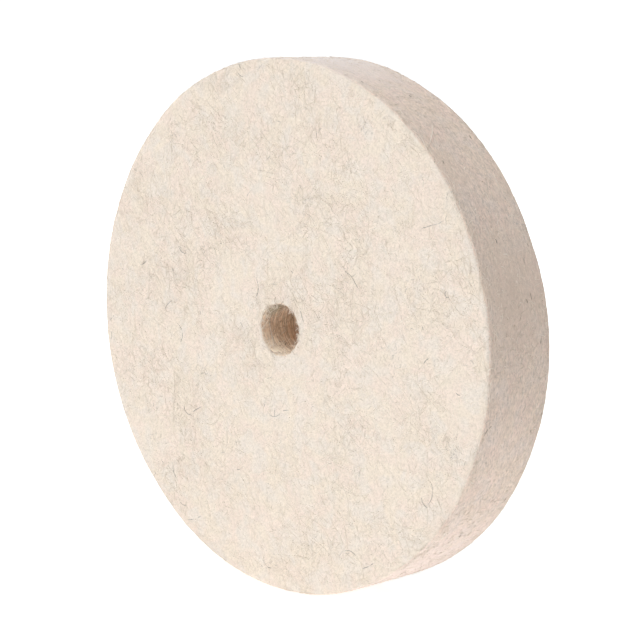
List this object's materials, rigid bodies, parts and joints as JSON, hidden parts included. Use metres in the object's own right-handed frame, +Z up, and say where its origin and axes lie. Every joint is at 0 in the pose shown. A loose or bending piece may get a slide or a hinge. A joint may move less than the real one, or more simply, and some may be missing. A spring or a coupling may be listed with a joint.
{
  "type": "felt polishing wheel",
  "caption": "Hard pressed wool felt disc with flat faces, a plain cylindrical rim and a round arbor bore, for polishing on a spindle.",
  "frame": {"origin": "middle of the arbor bore, halfway between the two faces", "axes": "+Y along the spin axis, out of the back face; the front face looks along -Y; +Z up, across the disc"},
  "size_m": [0.125, 0.02, 0.125],
  "materials": {
    "wool_felt": "matte"
  },
  "bodies": {
    "root": {"felt_disc": "wool_felt"}
  },
  "joints": []
}
